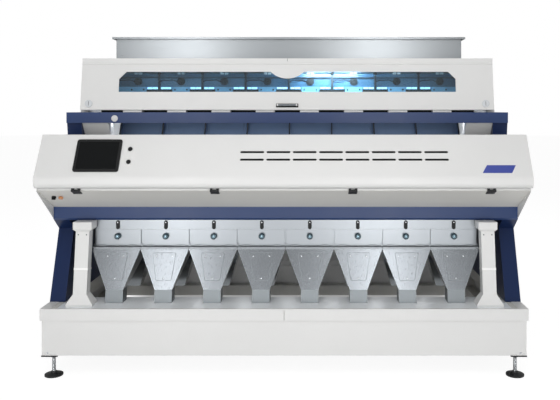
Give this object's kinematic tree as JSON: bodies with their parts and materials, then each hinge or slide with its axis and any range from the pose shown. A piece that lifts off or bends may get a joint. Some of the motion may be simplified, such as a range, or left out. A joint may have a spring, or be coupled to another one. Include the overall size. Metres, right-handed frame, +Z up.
{
  "type": "optical colour sorter",
  "caption": "Chute-fed optical colour sorter: hopper, vibrating trays behind a window, sloping chutes, hinged console and a row of stainless funnels with sampling doors on a footed base.",
  "frame": {"origin": "on the floor, under the middle of the machine's bounding box", "axes": "+X along the row of lanes to the machine's right as seen from the front, +Y from the front to the rear, +Z up"},
  "size_m": [3.044, 1.6023, 2.193],
  "materials": {
    "paint_white": "satin powder coat",
    "paint_blue": "satin paint",
    "paint_dark": "matt black",
    "paint_grey": "satin paint",
    "stainless": "polished sheet",
    "stainless_dull": "dull sheet",
    "chute_metal": "dark anodised",
    "nozzle_metal": "milled",
    "drive_paint": "gloss paint",
    "screen_black": "glass-like",
    "black_plastic": "fine grain",
    "stop_orange": "smooth",
    "window_glass": "clear, tinted",
    "lock_metal": "plated"
  },
  "bodies": {
    "machine": {"base_frame": "paint_dark", "base_panels": "paint_white", "base_deck": "stainless", "foot_plates": "paint_dark", "levelling_feet": "paint_dark", "side_frames": "paint_blue", "cross_beams": "paint_blue", "dust_ducts": "paint_white", "console_cabinet": "paint_white", "console_underpan": "paint_grey", "console_hinges": "paint_dark", "collector_strip": "stainless", "front_funnels": "stainless", "inspection_plates": "stainless", "outlet_spouts": "stainless_dull", "rear_funnels": "stainless", "chutes": "chute_metal", "bay_covers": "paint_white", "feeder_housing": "paint_white", "hopper": "stainless", "feeder_drives": "drive_paint", "optics_boxes": "paint_grey", "ejector_bar": "nozzle_metal", "rear_cover": "paint_white"},
    "console_cover": {"console_cover": "paint_white", "cover_hinge_leaves": "paint_dark", "touch_screen": "screen_black"},
    "button_upper": {"button_upper": "black_plastic"},
    "button_lower": {"button_lower": "black_plastic"},
    "main_switch": {"main_switch": "black_plastic"},
    "stop_button": {"stop_button": "stop_orange"},
    "feeder_door": {"feeder_door": "paint_white", "window_pane": "window_glass", "door_handle": "black_plastic"},
    "cam_lock_left": {"cam_lock_left": "lock_metal"},
    "cam_lock_right": {"cam_lock_right": "lock_metal"},
    "sampling_door_1": {"sampling_door_1": "stainless"},
    "sampling_door_2": {"sampling_door_2": "stainless"},
    "sampling_door_3": {"sampling_door_3": "stainless"},
    "sampling_door_4": {"sampling_door_4": "stainless"},
    "sampling_door_5": {"sampling_door_5": "stainless"},
    "sampling_door_6": {"sampling_door_6": "stainless"},
    "sampling_door_7": {"sampling_door_7": "stainless"},
    "sampling_door_8": {"sampling_door_8": "stainless"},
    "swing_latch_1": {"swing_latch_1": "black_plastic"},
    "swing_latch_2": {"swing_latch_2": "black_plastic"},
    "swing_latch_3": {"swing_latch_3": "black_plastic"},
    "swing_latch_4": {"swing_latch_4": "black_plastic"},
    "swing_latch_5": {"swing_latch_5": "black_plastic"},
    "swing_latch_6": {"swing_latch_6": "black_plastic"},
    "swing_latch_7": {"swing_latch_7": "black_plastic"},
    "swing_latch_8": {"swing_latch_8": "black_plastic"},
    "feeder_tray_1": {"feeder_tray_1": "stainless"},
    "feeder_tray_2": {"feeder_tray_2": "stainless"},
    "feeder_tray_3": {"feeder_tray_3": "stainless"},
    "feeder_tray_4": {"feeder_tray_4": "stainless"},
    "feeder_tray_5": {"feeder_tray_5": "stainless"},
    "feeder_tray_6": {"feeder_tray_6": "stainless"},
    "feeder_tray_7": {"feeder_tray_7": "stainless"},
    "feeder_tray_8": {"feeder_tray_8": "stainless"}
  },
  "joints": [
    {"name": "console_cover_hinge", "type": "hinge", "parent": "machine", "child": "console_cover", "pos_m": [0, -0.76575, 1.169], "axis": [1, 0, 0], "range_deg": [0, 70]},
    {"name": "button_upper_press", "type": "slide", "parent": "console_cover", "child": "button_upper", "axis": [0, 0.866, -0.5], "range_m": [0, 0.004], "stiffness_N_per_m": 1500, "springref_m": -0.003},
    {"name": "button_lower_press", "type": "slide", "parent": "console_cover", "child": "button_lower", "axis": [0, 0.866, -0.5], "range_m": [0, 0.004], "stiffness_N_per_m": 1500, "springref_m": -0.003},
    {"name": "main_switch_turn", "type": "hinge", "parent": "machine", "child": "main_switch", "pos_m": [-1.445, -0.66509, 1.12076], "axis": [0, -0.4446, -0.8957], "range_deg": [0, 90]},
    {"name": "stop_button_press", "type": "slide", "parent": "machine", "child": "stop_button", "axis": [0, 0.4446, 0.8957], "range_m": [0, 0.005], "stiffness_N_per_m": 1500, "springref_m": -0.003},
    {"name": "feeder_door_hinge", "type": "hinge", "parent": "machine", "child": "feeder_door", "pos_m": [0, -0.21125, 1.9814], "axis": [-1, 0, 0], "range_deg": [0, 85]},
    {"name": "cam_lock_left_turn", "type": "hinge", "parent": "feeder_door", "child": "cam_lock_left", "pos_m": [-1.362, -0.25467, 1.70748], "axis": [0, -0.9877, 0.1566], "range_deg": [0, 90]},
    {"name": "cam_lock_right_turn", "type": "hinge", "parent": "feeder_door", "child": "cam_lock_right", "pos_m": [1.362, -0.25467, 1.70748], "axis": [0, 0.9877, -0.1566], "range_deg": [0, 90]},
    {"name": "sampling_door_1_hinge", "type": "hinge", "parent": "machine", "child": "sampling_door_1", "pos_m": [-1.1025, -0.45955, 0.77475], "axis": [1, 0, 0], "range_deg": [0, 90]},
    {"name": "sampling_door_2_hinge", "type": "hinge", "parent": "machine", "child": "sampling_door_2", "pos_m": [-0.7875, -0.45955, 0.77475], "axis": [1, 0, 0], "range_deg": [0, 90]},
    {"name": "sampling_door_3_hinge", "type": "hinge", "parent": "machine", "child": "sampling_door_3", "pos_m": [-0.4725, -0.45955, 0.77475], "axis": [1, 0, 0], "range_deg": [0, 90]},
    {"name": "sampling_door_4_hinge", "type": "hinge", "parent": "machine", "child": "sampling_door_4", "pos_m": [-0.1575, -0.45955, 0.77475], "axis": [1, 0, 0], "range_deg": [0, 90]},
    {"name": "sampling_door_5_hinge", "type": "hinge", "parent": "machine", "child": "sampling_door_5", "pos_m": [0.1575, -0.45955, 0.77475], "axis": [1, 0, 0], "range_deg": [0, 90]},
    {"name": "sampling_door_6_hinge", "type": "hinge", "parent": "machine", "child": "sampling_door_6", "pos_m": [0.4725, -0.45955, 0.77475], "axis": [1, 0, 0], "range_deg": [0, 90]},
    {"name": "sampling_door_7_hinge", "type": "hinge", "parent": "machine", "child": "sampling_door_7", "pos_m": [0.7875, -0.45955, 0.77475], "axis": [1, 0, 0], "range_deg": [0, 90]},
    {"name": "sampling_door_8_hinge", "type": "hinge", "parent": "machine", "child": "sampling_door_8", "pos_m": [1.1025, -0.45955, 0.77475], "axis": [1, 0, 0], "range_deg": [0, 90]},
    {"name": "swing_latch_1_pivot", "type": "hinge", "parent": "machine", "child": "swing_latch_1", "pos_m": [-1.1025, -0.45725, 0.927], "axis": [0, -1, 0], "range_deg": [-90, 90]},
    {"name": "swing_latch_2_pivot", "type": "hinge", "parent": "machine", "child": "swing_latch_2", "pos_m": [-0.7875, -0.45725, 0.927], "axis": [0, -1, 0], "range_deg": [-90, 90]},
    {"name": "swing_latch_3_pivot", "type": "hinge", "parent": "machine", "child": "swing_latch_3", "pos_m": [-0.4725, -0.45725, 0.927], "axis": [0, -1, 0], "range_deg": [-90, 90]},
    {"name": "swing_latch_4_pivot", "type": "hinge", "parent": "machine", "child": "swing_latch_4", "pos_m": [-0.1575, -0.45725, 0.927], "axis": [0, -1, 0], "range_deg": [-90, 90]},
    {"name": "swing_latch_5_pivot", "type": "hinge", "parent": "machine", "child": "swing_latch_5", "pos_m": [0.1575, -0.45725, 0.927], "axis": [0, -1, 0], "range_deg": [-90, 90]},
    {"name": "swing_latch_6_pivot", "type": "hinge", "parent": "machine", "child": "swing_latch_6", "pos_m": [0.4725, -0.45725, 0.927], "axis": [0, -1, 0], "range_deg": [-90, 90]},
    {"name": "swing_latch_7_pivot", "type": "hinge", "parent": "machine", "child": "swing_latch_7", "pos_m": [0.7875, -0.45725, 0.927], "axis": [0, -1, 0], "range_deg": [-90, 90]},
    {"name": "swing_latch_8_pivot", "type": "hinge", "parent": "machine", "child": "swing_latch_8", "pos_m": [1.1025, -0.45725, 0.927], "axis": [0, -1, 0], "range_deg": [-90, 90]},
    {"name": "feeder_tray_1_shake", "type": "slide", "parent": "machine", "child": "feeder_tray_1", "axis": [0, 1, 0], "range_m": [-0.0015, 0.0015], "stiffness_N_per_m": 20000},
    {"name": "feeder_tray_2_shake", "type": "slide", "parent": "machine", "child": "feeder_tray_2", "axis": [0, 1, 0], "range_m": [-0.0015, 0.0015], "stiffness_N_per_m": 20000},
    {"name": "feeder_tray_3_shake", "type": "slide", "parent": "machine", "child": "feeder_tray_3", "axis": [0, 1, 0], "range_m": [-0.0015, 0.0015], "stiffness_N_per_m": 20000},
    {"name": "feeder_tray_4_shake", "type": "slide", "parent": "machine", "child": "feeder_tray_4", "axis": [0, 1, 0], "range_m": [-0.0015, 0.0015], "stiffness_N_per_m": 20000},
    {"name": "feeder_tray_5_shake", "type": "slide", "parent": "machine", "child": "feeder_tray_5", "axis": [0, 1, 0], "range_m": [-0.0015, 0.0015], "stiffness_N_per_m": 20000},
    {"name": "feeder_tray_6_shake", "type": "slide", "parent": "machine", "child": "feeder_tray_6", "axis": [0, 1, 0], "range_m": [-0.0015, 0.0015], "stiffness_N_per_m": 20000},
    {"name": "feeder_tray_7_shake", "type": "slide", "parent": "machine", "child": "feeder_tray_7", "axis": [0, 1, 0], "range_m": [-0.0015, 0.0015], "stiffness_N_per_m": 20000},
    {"name": "feeder_tray_8_shake", "type": "slide", "parent": "machine", "child": "feeder_tray_8", "axis": [0, 1, 0], "range_m": [-0.0015, 0.0015], "stiffness_N_per_m": 20000}
  ]
}
